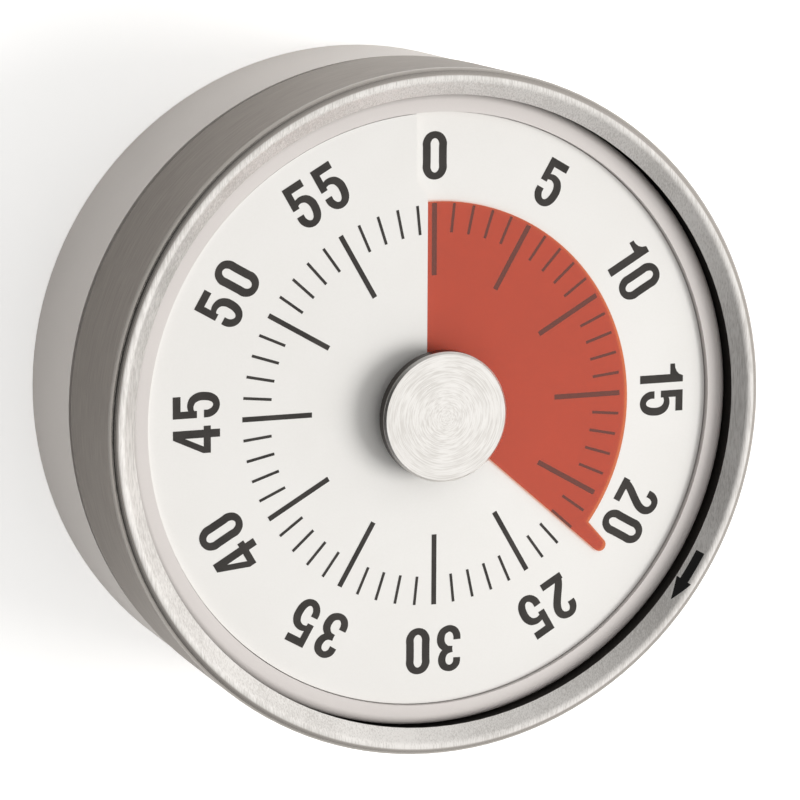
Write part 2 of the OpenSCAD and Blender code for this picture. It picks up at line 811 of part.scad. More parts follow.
// Two pins hang beside the escape wheel, and the fork takes the roller's pin
module pallet_anchor() {
    pallets = [for (side = [-1, 1])
        escape_pos + polar(pallet_r, anchor_dir + side * pallet_turn)];
    fork_end = anchor_pos + polar(fork_l - 0.6, balance_dir);
    slot_half = pin_r + 0.12;
    color([0.62, 0.62, 0.64]) {
        translate([0, 0, anchor_z]) linear_extrude(wheel_t) difference() {
            union() {
                translate(anchor_pos) circle(r = eye_r);
                for (p = pallets) {
                    bar(anchor_pos, p, 0.9);
                    translate(p) circle(r = 0.55);
                }
                bar(anchor_pos, fork_end, 0.9);
                translate(anchor_pos) rotate(balance_dir) translate([fork_l - 0.9, 0])
                    square([1.3, 2 * slot_half + 0.8], center = true);
            }
            translate(anchor_pos) {
                circle(r = arbor_r);
                rotate(balance_dir) translate([fork_l - 0.6, -slot_half]) square([2, 2 * slot_half]);
            }
        }
        for (p = pallets)
            translate(concat(p, escape_z - 0.1)) cylinder(r = pin_r, h = anchor_z - escape_z + 0.2);
    }
}

module balance_staff() {
    color([0.62, 0.62, 0.64])
    translate(balance_pos) arbor();
}

module balance_wheel() {
    color([0.80, 0.66, 0.36])
    translate(concat(balance_pos, second_z)) difference() {
        union() {
            ring(balance_r, balance_r - 0.9, wheel_t);
            cylinder(r = eye_r, h = wheel_t);
            translate([0.4 - balance_r, -0.45, 0]) cube([2 * balance_r - 0.8, 0.9, wheel_t]);
        }
        translate([0, 0, -1]) cylinder(r = arbor_r, h = wheel_t + 2);
    }
}

module impulse_roller() {
    color([0.62, 0.62, 0.64])
    translate(concat(balance_pos, roller_z)) {
        ring(crank_l + 0.6, arbor_r, roller_t);
        translate(concat(polar(crank_l, balance_dir + 180), anchor_z - roller_z + 0.1))
            cylinder(r = pin_r, h = roller_z - anchor_z);
    }
}

// Striking work

module hammer_arbor() {
    color([0.62, 0.62, 0.64])
    translate(hammer_pos) {
        arbor();
        translate([0, 0, hammer_z - 0.2]) cylinder(r = pivot_r, h = plate_z - hammer_z + 0.2);
    }
}

// The lever feels for the notch in the cam
module hammer_lever() {
    tip = polar(cam_r + 0.8, hammer_dir);
    color([0.62, 0.62, 0.64])
    translate([0, 0, cam_z]) linear_extrude(wheel_t) difference() {
        union() {
            translate(hammer_pos) circle(r = eye_r);
            bar(hammer_pos, tip, 0.8);
        }
        translate(hammer_pos) circle(r = arbor_r);
    }
}

module bell_hammer() {
    arm_z = hammer_z + 0.2;
    color([0.80, 0.66, 0.36]) {
        translate([0, 0, arm_z]) difference() {
            linear_extrude(wheel_t) {
                translate(hammer_pos) circle(r = eye_r);
                bar(hammer_pos, hammer_head, 0.9);
            }
            translate(concat(hammer_pos, -1)) cylinder(r = pivot_r, h = wheel_t + 2);
        }
        translate(concat(hammer_head, hammer_z - 0.3)) cylinder(r = hammer_head_r, h = 2.4);
    }
}

// A coil round the hammer's arbor with one leg hooked under the upper plate
module hammer_spring() {
    wire_r = 0.15;
    coil_r = arbor_r + 0.45;
    color([0.36, 0.40, 0.48])
    translate(concat(hammer_pos, second_z)) {
        for (i = [1:7]) translate([0, 0, 2.6 * wire_r * i])
            rotate_extrude($fn = 32) translate([coil_r, 0]) circle(r = wire_r, $fn = 16);
        translate([coil_r, 0, 0]) cylinder(r = wire_r, h = roof_z - second_z, $fn = 16);
    }
}

rear_drum();
back_cover();
magnet();
cover_screws();
movement_screws();
lower_plate();
upper_plate();
plate_pillars();
plate_nuts();
center_post();
bell();
bell_screw();
mainspring();
spring_stud();
dial_collar();
dial_plate();
dial_rim();
knob();
bezel_ring();
bezel_carrier();
main_arbor();
main_wheel();
ratchet_wheel();
click_pawl();
strike_cam();
arbor_clip();
drive_pin();
time_disc();
disc_arm();
disc_hub();
second_arbor();
second_wheel();
third_arbor();
third_wheel();
escape_arbor();
escape_wheel();
anchor_arbor();
pallet_anchor();
balance_staff();
balance_wheel();
impulse_roller();
hammer_arbor();
hammer_lever();
bell_hammer();
hammer_spring();
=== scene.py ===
import math

import bmesh
import bpy
from mathutils import Matrix, Vector
from mathutils.bvhtree import BVHTree
from mathutils.geometry import delaunay_2d_cdt


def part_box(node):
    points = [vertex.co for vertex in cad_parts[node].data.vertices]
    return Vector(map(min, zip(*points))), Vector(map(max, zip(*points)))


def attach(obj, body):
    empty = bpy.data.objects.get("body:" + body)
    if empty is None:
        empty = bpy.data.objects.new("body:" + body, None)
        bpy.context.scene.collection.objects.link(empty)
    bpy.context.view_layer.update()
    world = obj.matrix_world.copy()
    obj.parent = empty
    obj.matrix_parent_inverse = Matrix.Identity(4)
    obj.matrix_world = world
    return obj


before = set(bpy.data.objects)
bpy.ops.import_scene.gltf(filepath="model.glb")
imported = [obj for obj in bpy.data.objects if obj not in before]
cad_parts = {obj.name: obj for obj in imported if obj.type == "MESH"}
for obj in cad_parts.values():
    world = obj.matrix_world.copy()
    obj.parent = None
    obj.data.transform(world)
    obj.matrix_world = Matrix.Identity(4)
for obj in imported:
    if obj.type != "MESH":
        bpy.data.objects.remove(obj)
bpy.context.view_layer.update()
mm = 0.001
lineRoughness = 0.62    # how broken up the brushed lines are
print("frame loaded:", len(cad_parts), "parts")


# One socket of a shader, so that sums on it can be written as sums
class Wire:
    def __init__(self, finish, socket):
        self.finish = finish
        self.socket = socket

    def sum(self, operation, first, second):
        return self.finish.node("ShaderNodeMath", {"operation": operation}, {0: first, 1: second})

    def __add__(self, other):
        return self.sum("ADD", self, other)

    def __sub__(self, other):
        return self.sum("SUBTRACT", self, other)

    def __rsub__(self, other):
        return self.sum("SUBTRACT", other, self)

    def __mul__(self, other):
        return self.sum("MULTIPLY", self, other)

    def __truediv__(self, other):
        return self.sum("DIVIDE", self, other)

    def __rtruediv__(self, other):
        return self.sum("DIVIDE", other, self)

    def __pow__(self, other):
        return self.sum("POWER", self, other)

    def __rpow__(self, other):
        return self.sum("POWER", other, self)

    __radd__ = __add__
    __rmul__ = __mul__


# A shader that is built up node by node. Positions in it are in metres, on the model's own axes.
class Finish:
    def __init__(self, owner):
        owner.use_nodes = True
        self.tree = owner.node_tree
        self.tree.nodes.clear()

    # Settings come first, because some of them change which sockets the node has
    def node(self, kind, settings={}, values={}, output=0):
        made = self.tree.nodes.new(kind)
        for name, value in settings.items():
            setattr(made, name, value)
        for name, value in values.items():
            if isinstance(value, Wire):
                self.tree.links.new(value.socket, made.inputs[name])
            elif isinstance(value, tuple) and made.inputs[name].type == "RGBA":
                made.inputs[name].default_value = (*value, 1)
            else:
                made.inputs[name].default_value = value
        return Wire(self, made.outputs[output] if len(made.outputs) else None)

    def places(self):
        spot = self.node("ShaderNodeTexCoord", output="Object")
        return spot, [self.node("ShaderNodeSeparateXYZ", {}, {0: spot}, output=i) for i in range(3)]

    def vector(self, x, y, z):
        return self.node("ShaderNodeCombineXYZ", {}, {0: x, 1: y, 2: z})

    def blend(self, share, first, second):
        return self.node("ShaderNodeMix", {"data_type": "RGBA"}, {0: share, 6: first, 7: second}, output=2)

    # 0 at the first value, 1 at the second, and smooth between them
    def ease(self, value, start, end):
        return self.node("ShaderNodeMapRange", {"interpolation_type": "SMOOTHSTEP"},
                         {"Value": value, "From Min": start, "From Max": end})

    # Two grains added in shares, then stretched so that the span runs from 0 to 1
    def mottle(self, fine, slow, share, span):
        return self.ease(fine * share + slow * (1 - share), *span)

    # A swing about nought, as wide as the amount
    def swing(self, cloud, amount):
        return (cloud - 0.5) * amount

    def noise(self, vector, scale=1.0, detail=3.0, rough=0.55):
        return self.node("ShaderNodeTexNoise", {},
                         {"Vector": vector, "Scale": scale, "Detail": detail, "Roughness": rough})

    # Cloudy grain whose spots are about that many millimetres across
    def grain(self, size, detail=3.0, rough=0.55):
        return self.noise(self.places()[0], 1 / (size * mm), detail, rough)

    # Fine lines round the Z axis, each as wide as width and broken about arc times a turn
    def spunLines(self, width, arc, rising=False):
        x, y, z = self.places()[1]
        far = (x * x + y * y + 1e-10) ** 0.5   # never nought, so that it can divide
        return self.noise(self.vector(x / far * arc, y / far * arc, (z if rising else far) / (width * mm)),
                          rough=lineRoughness)

    # Fine lines along the Y axis
    def straightLines(self, width, length):
        x, y, z = self.places()[1]
        return self.noise(self.vector(x / (width * mm), y / (length * mm), z / (width * mm)),
                          rough=lineRoughness)

    # Depth is in millimetres
    def bump(self, height, depth, strength):
        return self.node("ShaderNodeBump", {}, {
            "Height": height, "Distance": depth * mm, "Strength": strength})

    def show(self, shader, kind="ShaderNodeOutputMaterial"):
        self.node(kind, {}, {"Surface": shader})


def newFinish(name):
    material = bpy.data.materials.new(name)
    return material, Finish(material)


def shaded(colour, share):
    return tuple(c * share for c in colour)


def wear(material, *names):
    for name in names:
        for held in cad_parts[name].material_slots:
            held.link = "OBJECT"
            held.material = material


# Brushed steel of the bezel: fine straight brushing on the face, rings round the side, and a dark, glossier
# line over the edge between them. That line's dark colour is a painted dark reflection, and the side's darker
# steel is painted shade. Each band is the pair of places, in millimetres from the ring's outside or top,
# between which one finish gives way to the next.
bezelSteel = {
    "face": (0.97, 0.945, 0.915), "faceDull": (0.70, 0.675, 0.645), "faceRoughness": 0.30,
    # painted shade: the side's steel colours are darker than the face's
    "side": (0.40, 0.365, 0.335), "sideDull": (0.30, 0.272, 0.25), "sideRoughness": 0.46,
    # the edge colour is a painted dark reflection, a dark line along the edge between face and side
    "edge": (0.46, 0.43, 0.40), "edgeDull": 0.9, "edgeRoughness": 0.25,
    "faceBand": (0.9, 0.45), "slopeBand": (1.0, 1.3), "edgeBand": (0.92, 0.66), "edgeDepth": (1.45, 1.25),
    "lineWidth": 0.13, "lineLength": 2.0, "ringArc": 9, "cloud": 9, "lineShare": 0.7, "span": (0.34, 0.62),
    "ringSpan": (0.3, 0.7), "roughnessSwing": 0.08, "depth": 0.02, "strength": 0.6,
}


def makeBezelSteel():
    s = bezelSteel
    material, f = newFinish("bezelSteel")
    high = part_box("bezel_ring")[1]
    x, y, z = f.places()[1]
    inward, down = high.x - (x * x + y * y) ** 0.5, high.z - z
    band = {name: [place * mm for place in s[name]]
            for name in ("faceBand", "slopeBand", "edgeBand", "edgeDepth")}
    face = f.ease(down, *band["faceBand"])
    slope = f.ease(inward, *band["slopeBand"])
    face = 1 - (1 - face) * (1 - slope)        # the whole inner slope belongs to the face
    # mask of the painted dark reflection along the rounded edge
    edge = f.ease(inward, *band["edgeBand"]) * f.ease(down, *band["edgeDepth"])
    brushed = f.straightLines(s["lineWidth"], s["lineLength"])
    rings = f.spunLines(s["lineWidth"], s["ringArc"], rising=True)
    cloud = f.grain(s["cloud"], 2)
    faceColour = f.blend(f.mottle(brushed, cloud, s["lineShare"], s["span"]), s["faceDull"], s["face"])
    # painted shade: the side gets a darker copy of the steel
    sideColour = f.blend(f.ease(rings, *s["ringSpan"]), s["sideDull"], s["side"])
    edgeColour = f.blend(cloud, shaded(s["edge"], s["edgeDull"]), s["edge"])
    colour = f.blend(edge, f.blend(face, sideColour, faceColour), edgeColour)
    roughness = (face * s["faceRoughness"] + (1 - face) * s["sideRoughness"]
                 + f.swing(cloud, s["roughnessSwing"]))
    roughness = roughness * (1 - edge) + edge * s["edgeRoughness"]
    lines = face * brushed + (1 - face) * rings
    f.show(f.node("ShaderNodeBsdfPrincipled", {}, {
        "Base Color": colour, "Metallic": 1.0, "Roughness": roughness,
        "Normal": f.bump(lines, s["depth"], s["strength"])}))
    return material


# Spun steel of the knob, with a dark side under the bright face
knobSteel = {
    "face": (1.0, 0.98, 0.95), "faceDull": (0.80, 0.775, 0.74), "side": (0.045, 0.036, 0.032),
    "faceBand": (0.45, 0.25), "lineWidth": 0.14, "lineArc": 2.2, "cloud": 2.6, "lineShare": 0.75,
    "span": (0.36, 0.6), "roughness": 0.30, "roughnessSwing": 0.1, "depth": 0.022, "strength": 0.6,
}


def makeKnobSteel():
    s = knobSteel
    material, f = newFinish("knobSteel")
    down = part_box("knob")[1].z - f.places()[1][2]
    face = f.ease(down, *(place * mm for place in s["faceBand"]))
    spun = f.spunLines(s["lineWidth"], s["lineArc"])
    cloud = f.grain(s["cloud"], 2)
    shine = f.mottle(spun, cloud, s["lineShare"], s["span"])
    f.show(f.node("ShaderNodeBsdfPrincipled", {}, {
        "Base Color": f.blend(face, s["side"], f.blend(shine, s["faceDull"], s["face"])), "Metallic": 1.0,
        "Roughness": f.swing(cloud, s["roughnessSwing"]) + s["roughness"],
        "Normal": f.bump(spun, s["depth"], s["strength"])}))
    return material


# Plain metals: the colour, how rough it is, and which way its grain runs
metals = {
    "screwSteel": {"colour": (0.62, 0.61, 0.60), "roughness": 0.30, "grain": "spun", "nodes": (
        "cover_screws", "movement_screws", "bell_screw", "plate_nuts")},
    "arborSteel": {"colour": (0.60, 0.60, 0.61), "roughness": 0.22, "grain": "rising", "nodes": (
        "center_post", "spring_stud", "main_arbor", "ratchet_wheel", "click_pawl", "arbor_clip", "drive_pin",
        "second_arbor", "third_arbor", "escape_arbor", "anchor_arbor", "pallet_anchor", "balance_staff",
        "impulse_roller", "hammer_arbor", "hammer_lever")},
    "wheelBrass": {"colour": (0.80, 0.62, 0.30), "roughness": 0.28, "grain": "spun", "nodes": (
        "main_wheel", "strike_cam", "second_wheel", "third_wheel", "escape_wheel", "balance_wheel",
        "bell_hammer", "plate_pillars")},
    "plateBrass": {"colour": (0.76, 0.60, 0.33), "roughness": 0.36, "grain": "straight", "nodes": (
        "lower_plate", "upper_plate")},
    "springSteel": {"colour": (0.20, 0.26, 0.40), "roughness": 0.30, "grain": "rising", "nodes": (
        "mainspring", "hammer_spring")},
    "bellSteel": {"colour": (0.74, 0.74, 0.75), "roughness": 0.16, "grain": "spun", "nodes": ("bell",)},
    "magnetPlating": {"colour": (0.66, 0.66, 0.67), "roughness": 0.20, "grain": "cloud", "nodes": (
        "magnet",)},
}
metalWear = {"dull": 0.74, "stains": 4, "lineShare": 0.6, "span": (0.32, 0.62), "roughnessSwing": 0.22,
             "depth": 0.008, "strength": 0.5}
metalGrains = {
    "spun": lambda f: f.spunLines(0.12, 5),
    "rising": lambda f: f.spunLines(0.1, 5, rising=True),
    "straight": lambda f: f.straightLines(0.11, 5),
    "cloud": lambda f: f.grain(0.3, 5, 0.7),
}


def makeMetal(name):
    s, worn = metals[name], metalWear
    material, f = newFinish(name)
    lines = metalGrains[s["grain"]](f)
    stains = f.grain(worn["stains"], 4, 0.6)   # faint handling marks
    shine = f.mottle(lines, stains, worn["lineShare"], worn["span"])
    f.show(f.node("ShaderNodeBsdfPrincipled", {}, {
        "Base Color": f.blend(shine, shaded(s["colour"], worn["dull"]), s["colour"]), "Metallic": 1.0,
        "Roughness": f.swing(stains, worn["roughnessSwing"]) + s["roughness"],
        "Normal": f.bump(lines, worn["depth"], worn["strength"])}))
    return material


# Moulded plastics and the painted dial: the colour and the darker shade in its mottle, the roughness, and
# the size and depth of the moulded texture, in millimetres
plastics = {
    "drumPlastic": {
        "colour": (0.76, 0.715, 0.68), "shade": (0.722, 0.679, 0.646), "roughness": 0.42, "size": 0.22,
        "depth": 0.006, "nodes": ("rear_drum",)},
    "coverPlastic": {
        "colour": (0.030, 0.030, 0.032), "shade": (0.021, 0.021, 0.022), "roughness": 0.55, "size": 0.30,
        "depth": 0.02, "nodes": ("back_cover",)},
    "carrierPlastic": {
        "colour": (0.060, 0.053, 0.048), "shade": (0.042, 0.037, 0.034), "roughness": 0.6, "size": 0.35,
        "depth": 0.012, "nodes": ("bezel_carrier", "disc_arm", "disc_hub")},
    "rimPlastic": {
        "colour": (0.74, 0.70, 0.68), "shade": (0.710, 0.672, 0.653), "roughness": 0.38, "size": 0.2,
        "depth": 0.004, "nodes": ("dial_rim", "dial_collar")},
    "dialWhite": {
        "colour": (0.86, 0.85, 0.83), "shade": (0.835, 0.823, 0.80), "roughness": 0.48, "size": 0.25,
        "depth": 0.003, "flow": 12, "fineShare": 0.4, "roughnessSwing": 0.1, "strength": 0.5,
        "nodes": ("dial_plate",)},
}
plasticUsual = {"flow": 14, "fineShare": 0.35, "span": (0.3, 0.7), "roughnessSwing": 0.12, "strength": 0.6}


def makePlastic(name):
    s = {**plasticUsual, **plastics[name]}
    material, f = newFinish(name)
    texture, flow = f.grain(s["size"], 4, 0.6), f.grain(s["flow"], 2)
    mottle = f.mottle(texture, flow, s["fineShare"], s["span"])
    f.show(f.node("ShaderNodeBsdfPrincipled", {}, {
        "Base Color": f.blend(mottle, s["shade"], s["colour"]),
        "Roughness": f.swing(flow, s["roughnessSwing"]) + s["roughness"],
        "Normal": f.bump(texture, s["depth"], s["strength"])}))
    return material


# Red film: light passes it twice, so each face tints it by the fourth root of what is seen
redFilm = {
    "tint": (0.925, 0.48, 0.255), "haze": (0.58, 0.36, 0.34), "hazeDull": 0.94, "clear": 0.83,
    "clearSwing": 0.03, "roughness": 0.34, "roughnessSwing": 0.1, "cloud": 7, "span": (0.3, 0.7), "size": 0.3,
    "depth": 0.003, "strength": 0.4,
}


def makeRedFilm():
    s = redFilm
    material, f = newFinish("redFilm")
    cloud, fine = f.grain(s["cloud"]), f.grain(s["size"])
    surface = f.node("ShaderNodeBsdfPrincipled", {}, {
        "Base Color": f.blend(f.ease(cloud, *s["span"]), shaded(s["haze"], s["hazeDull"]), s["haze"]),
        "Roughness": f.swing(cloud, s["roughnessSwing"]) + s["roughness"],
        "Normal": f.bump(fine, s["depth"], s["strength"])})
    through = f.node("ShaderNodeBsdfTransparent", {}, {"Color": s["tint"]})
    share = f.swing(cloud, s["clearSwing"]) + s["clear"]
    f.show(f.node("ShaderNodeMixShader", {}, {0: share, 1: surface, 2: through}))
    return material


# Printing ink, a little worn and uneven
inks = {"dialInk": {"colour": (0.042, 0.038, 0.035), "roughness": 0.5},
        "arrowInk": {"colour": (0.006, 0.006, 0.006), "roughness": 0.62}}
inkWear = {"dull": 0.8, "bright": 1.25, "spots": 0.12, "flow": 3, "spotShare": 0.5, "span": (0.35, 0.65),
           "roughnessSwing": 0.1, "gloss": 0.25, "depth": 0.003, "strength": 0.5}


def makeInk(name):
    s, worn = inks[name], inkWear
    material, f = newFinish(name)
    spots, flow = f.grain(worn["spots"], 4, 0.7), f.grain(worn["flow"], 2)
    shade = f.mottle(spots, flow, worn["spotShare"], worn["span"])
    f.show(f.node("ShaderNodeBsdfPrincipled", {}, {
        "Base Color": f.blend(shade, shaded(s["colour"], worn["dull"]), shaded(s["colour"], worn["bright"])),
        "Roughness": f.swing(flow, worn["roughnessSwing"]) + s["roughness"],
        "Specular IOR Level": worn["gloss"], "Normal": f.bump(spots, worn["depth"], worn["strength"])}))
    return material


wear(makeBezelSteel(), "bezel_ring")
wear(makeKnobSteel(), "knob")
for name in metals:
    wear(makeMetal(name), *metals[name]["nodes"])
for name in plastics:
    wear(makePlastic(name), *plastics[name]["nodes"])
wear(makeRedFilm(), "time_disc")
dialInk, arrowInk = makeInk("dialInk"), makeInk("arrowInk")
print("finishes made:", len(bpy.data.materials))


# A value part of the way from q to r, on a curve that runs through p, q, r and s
def between(p, q, r, s, t):
    return (2 * q + (r - p) * t + (2 * p - 5 * q + 4 * r - s) * t ** 2 + (3 * q - p - 3 * r + s) * t ** 3) / 2


# Points on a smooth line through knots, which may hold a width as their third number
def smoothLine(knots, steps=5, closed=False):
    ends = knots if closed else [knots[0], *knots, knots[-1]]
    first, count = (-1, len(knots)) if closed else (0, len(knots) - 1)
    line = []
    for i in range(count):
        near = [ends[(i + k + first) % len(ends)] for k in range(4)]
        line += [tuple(between(*values, step / steps) for values in zip(*near)) for step in range(steps)]
    return line if closed else [*line, tuple(knots[-1])]


# The two edges of a stroke that follows a line of (x, y, width)
def strokeEdges(line, closed=False):
    left, right = [], []
    for i, (x, y, width) in enumerate(line):
        before = line[i - 1] if i or closed else line[0]
        after = line[(i + 1) % len(line)] if i + 1 < len(line) or closed else line[-1]
        along = Vector((after[0] - before[0], after[1] - before[1])).normalized() * width / 2
        left.append((x - along.y, y + along.x))
        right.append((x + along.y, y - along.x))
    return left, right


def stroke(*knots):
    left, right = strokeEdges(smoothLine(knots))
    return [*left, *reversed(right)]


def block(left, bottom, right, top):
    return [(left, bottom), (right, bottom), (right, top), (left, top)]


def loop(*knots):
    inside, outside = strokeEdges(smoothLine(knots, closed=True), closed=True)
    return outside, inside


# Bold, narrow figures in millimetres, standing on y = 0. A knot is (x, y, width of the stroke).
zeroOut, zeroIn = loop((1.42, 5.03, 0.78), (0.80, 4.80, 0.86), (0.46, 4.20, 0.92), (0.46, 3.50, 0.92),
                       (0.46, 1.94, 0.92), (0.46, 1.24, 0.92), (0.80, 0.64, 0.86), (1.42, 0.40, 0.78),
                       (2.04, 0.64, 0.86), (2.38, 1.24, 0.92), (2.38, 1.94, 0.92), (2.38, 3.50, 0.92),
                       (2.38, 4.20, 0.92), (2.04, 4.80, 0.86))
figures = {
    "0": {"width": 2.84, "solids": [zeroOut], "holes": [zeroIn]},
    "1": {"width": 2.17, "solids": [
        [(1.22, 0), (2.17, 0), (2.17, 5.43), (1.44, 5.43), (1.22, 4.92), (0.9, 4.62), (0.5, 4.44), (0, 4.39),
         (0, 3.82), (1.22, 3.82)]]},
    "2": {"width": 2.85, "solids": [
        stroke((0.46, 3.72, 0.86), (0.5, 4.35, 0.85), (0.86, 4.90, 0.80), (1.42, 5.05, 0.77),
               (2.06, 4.80, 0.84), (2.37, 4.18, 0.92), (2.22, 3.36, 0.95), (1.66, 2.42, 0.94),
               (1.04, 1.52, 0.92), (0.70, 0.92, 0.90), (0.56, 0.40, 0.86)),
        block(0.05, 0, 2.85, 0.84)]},
    "3": {"width": 2.9, "solids": [
        stroke((0.46, 3.86, 0.85), (0.52, 4.48, 0.84), (0.90, 4.92, 0.79), (1.44, 5.04, 0.76),
               (2.04, 4.76, 0.84), (2.30, 4.12, 0.90), (2.14, 3.40, 0.86), (1.68, 2.98, 0.76),
               (1.02, 2.84, 0.72)),
        stroke((1.02, 2.84, 0.72), (1.72, 2.74, 0.76), (2.28, 2.24, 0.90), (2.44, 1.56, 0.93),
               (2.20, 0.78, 0.87), (1.46, 0.39, 0.77), (0.80, 0.62, 0.82), (0.48, 1.16, 0.86),
               (0.44, 1.74, 0.86))]},
    "4": {"width": 3.05, "solids": [
        [(0, 1.07), (3.05, 1.07), (3.05, 1.88), (0, 1.88)],
        [(1.73, 0), (2.63, 0), (2.63, 5.43), (1.73, 5.43)],
        [(0, 1.07), (1.8, 1.07), (1.8, 5.43), (1.62, 5.43), (0, 1.93)]],
        "holes": [[(0.74, 1.88), (1.73, 1.88), (1.73, 4.05)]]},
    "5": {"width": 2.85, "solids": [
        block(0, 4.54, 2.46, 5.43), block(0, 2.66, 0.80, 5.0),
        stroke((0.30, 2.86, 0.40), (0.80, 3.30, 0.62), (1.40, 3.40, 0.74), (2.02, 3.12, 0.86),
               (2.36, 2.50, 0.92), (2.41, 1.85, 0.92), (2.30, 1.16, 0.91), (1.98, 0.62, 0.84),
               (1.42, 0.39, 0.77), (0.84, 0.62, 0.82), (0.48, 1.20, 0.86), (0.44, 1.84, 0.86))]},
}


# How far above a part the ink looks for it, how deep the ink bites into it, and the least gap between
# two points of an outline, all in millimetres
inkBed = {"above": 10, "bite": 0.01, "nearest": 1e-5}


# A thin layer of ink on a part: its outlines are in millimetres, and the part gives its height
def layInk(name, pieces, onto, thickness, grid=0.0):
    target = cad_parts[onto]
    surface = BVHTree.FromPolygons([v.co for v in target.data.vertices],
                                   [tuple(p.vertices) for p in target.data.polygons])
    low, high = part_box(onto)

    def heightAt(x, y):
        start = Vector((x * mm, y * mm, high.z + inkBed["above"] * mm))
        hit = surface.ray_cast(start, Vector((0, 0, -1)))[0]
        return (hit.z if hit else low.z) / mm

    points, faces = [], []
    for solids, holes in pieces:
        corners, rings = [], []
        for ring in [*solids, *holes]:
            twice = sum(a[0] * b[1] - b[0] * a[1] for a, b in zip(ring, [*ring[1:], ring[0]]))
            ring = ring if twice > 0 else ring[::-1]
            rings.append(range(len(corners), len(corners) + len(ring)))
            corners += [Vector(p) for p in ring]
        if grid:
            xs, ys = [p.x for p in corners], [p.y for p in corners]
            corners += [Vector((min(xs) + grid * i, min(ys) + grid * k))
                        for i in range(int((max(xs) - min(xs)) / grid) + 1)
                        for k in range(int((max(ys) - min(ys)) / grid) + 1)]
        found, _, triangles, _, _, owners = delaunay_2d_cdt(corners, [], [list(r) for r in rings], 0,
                                                         inkBed["nearest"])
        kept = [t for t, mine in zip(triangles, owners)
                if any(i < len(solids) for i in mine) and not any(i >= len(solids) for i in mine)]
        heights = [heightAt(p.x, p.y) for p in found]
        start, count = len(points), len(found)
        points += [(p.x * mm, p.y * mm, (h + thickness) * mm) for p, h in zip(found, heights)]
        points += [(p.x * mm, p.y * mm, (h - inkBed["bite"]) * mm) for p, h in zip(found, heights)]
        faces += [[start + i for i in t] for t in kept]
        edges = [(t[i], t[(i + 1) % 3]) for t in kept for i in range(3)]
        rim = set(edges) - {(b, a) for a, b in edges}
        faces += [[start + b, start + a, start + count + a, start + count + b] for a, b in sorted(rim)]
    mesh = bpy.data.meshes.new(name)
    mesh.from_pydata(points, [], faces)
    mesh.validate()
    used = {v for p in mesh.polygons for v in p.vertices}
    rough = bmesh.new()
    rough.from_mesh(mesh)
    rough.verts.ensure_lookup_table()
    bmesh.ops.delete(rough, geom=[v for v in rough.verts if v.index not in used], context="VERTS")
    rough.to_mesh(mesh)
    rough.free()
    piece = bpy.data.objects.new(name, mesh)
    bpy.context.scene.collection.objects.link(piece)
    return piece


minuteTurn = 6    # degrees


# Turns a shape so that its y axis points out along a minute's direction
def atMinute(shape, minute, radius, shift=0.0, centre=(0, 0)):
    turn = math.radians(minuteTurn * minute)
    out, side = Vector((math.sin(turn), math.cos(turn))), Vector((math.cos(turn), -math.sin(turn)))
    return [tuple(Vector(centre) + out * (radius + y) + side * (x + shift)) for x, y in shape]


# Minute marks and numbers, in millimetres, printed a little off the dial's centre
dialPrint = {
    "centre": (0.05, 0.66), "outer": 22.95, "longInner": 14.8, "shortInner": 19.65, "longWidth": 0.58,
    "shortWidth": 0.32, "minutes": 60, "longEvery": 5, "numbersFrom": 25.55, "figureGap": 0.93,
    "thickness": 0.025,
}


def makeMarks():
    s = dialPrint
    marks = []
    for minute in range(s["minutes"]):
        long = minute % s["longEvery"] == 0
        start, half = (s["longInner"], s["longWidth"] / 2) if long else (s["shortInner"], s["shortWidth"] / 2)
        shape = block(-half, 0, half, s["outer"] - start)
        marks.append(([atMinute(shape, minute, start, centre=s["centre"])], []))
    return layInk("minute_marks", marks, "dial_plate", s["thickness"])


def makeNumbers():
    s = dialPrint
    numbers = []
    for minute in range(0, s["minutes"], s["longEvery"]):
        text = str(minute)
        wide = sum(figures[c]["width"] for c in text) + s["figureGap"] * (len(text) - 1)
        left = -wide / 2
        for c in text:
            figure = figures[c]
            numbers.append([[atMinute(shape, minute, s["numbersFrom"], left, s["centre"]) for shape in shapes]
                            for shapes in (figure["solids"], figure.get("holes", []))])
            left += figure["width"] + s["figureGap"]
    return layInk("minute_numbers", numbers, "dial_plate", s["thickness"])


# Arrow on the bezel's face, at the tip of the pointer when the timer is set
bezelArrow = {"middle": 124.5, "radius": 36.85, "length": 6.5, "head": 2.7, "shaftWidth": 0.84,
              "headWidth": 1.62, "thickness": 0.02, "steps": 12, "grid": 0.25}


def makeArrow():
    s = bezelArrow
    half, neck = s["length"] / 2, s["length"] / 2 - s["head"]
    shaft, head = s["shaftWidth"] / 2, s["headWidth"] / 2
    shape = [(half, 0), (neck, head), (neck, shaft), (-half, shaft),
             (-half, -shaft), (neck, -shaft), (neck, -head)]
    fine = [(a[0] + (b[0] - a[0]) * i / s["steps"], a[1] + (b[1] - a[1]) * i / s["steps"])
            for a, b in zip(shape, [*shape[1:], shape[0]]) for i in range(s["steps"])]
    curved = []                                # the arrow bends round the ring
    for along, out in fine:
        turn = s["middle"] + math.degrees(along / s["radius"])
        curved += atMinute([(0, out)], turn / minuteTurn, s["radius"])
    return layInk("bezel_arrow", [([curved], [])], "bezel_ring", s["thickness"], s["grid"])


for piece, body in ((makeMarks(), "case"), (makeNumbers(), "case")):
    piece.data.materials.append(dialInk)
    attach(piece, body)
arrow = makeArrow()
arrow.data.materials.append(arrowInk)
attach(arrow, "bezel")
print("print laid on the dial and the bezel")


# The timer lies on its back on a wide pale floor, which also glows as painted light
floorStyle = {
    "size": 8.0, "drop": 0.00005, "colour": (0.96, 0.96, 0.955), "shade": (0.95, 0.95, 0.945), "cloud": 60,
    "roughness": 0.9, "gloss": 0.1, "glowSeen": 0.44, "glowSpread": 0.32,
}


